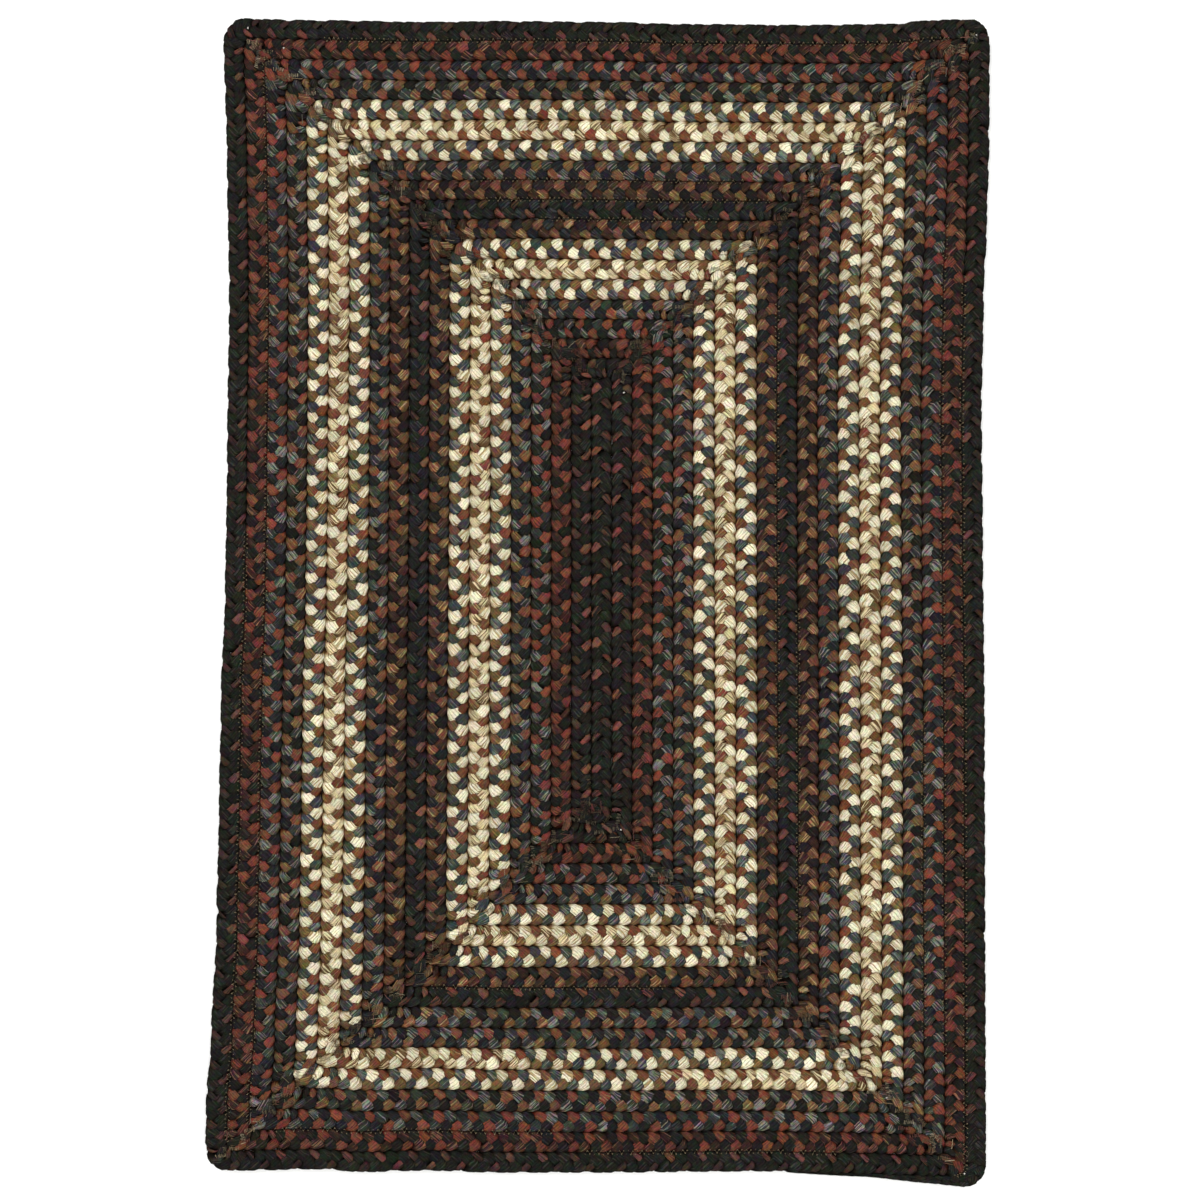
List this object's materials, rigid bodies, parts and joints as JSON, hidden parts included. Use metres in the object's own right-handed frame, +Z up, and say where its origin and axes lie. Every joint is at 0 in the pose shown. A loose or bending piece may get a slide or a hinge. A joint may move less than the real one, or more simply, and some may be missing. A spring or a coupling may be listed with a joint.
{
  "type": "braided rug",
  "caption": "Flat rectangular rug of one three-strand braid, wound in a spiral round a straight centre run and sewn edge to edge",
  "frame": {"origin": "on the floor, under the middle of the outline's bounding box", "axes": "+Z up from the floor through the rug's thickness, +Y along the rug's length towards the end where the centre run starts, +X across it"},
  "size_m": [0.5198, 0.7736, 0.009],
  "materials": {
    "braided_wool": "matt dyed yarn, plaited"
  },
  "bodies": {
    "root": {"braided_rug": "braided_wool"}
  },
  "joints": []
}
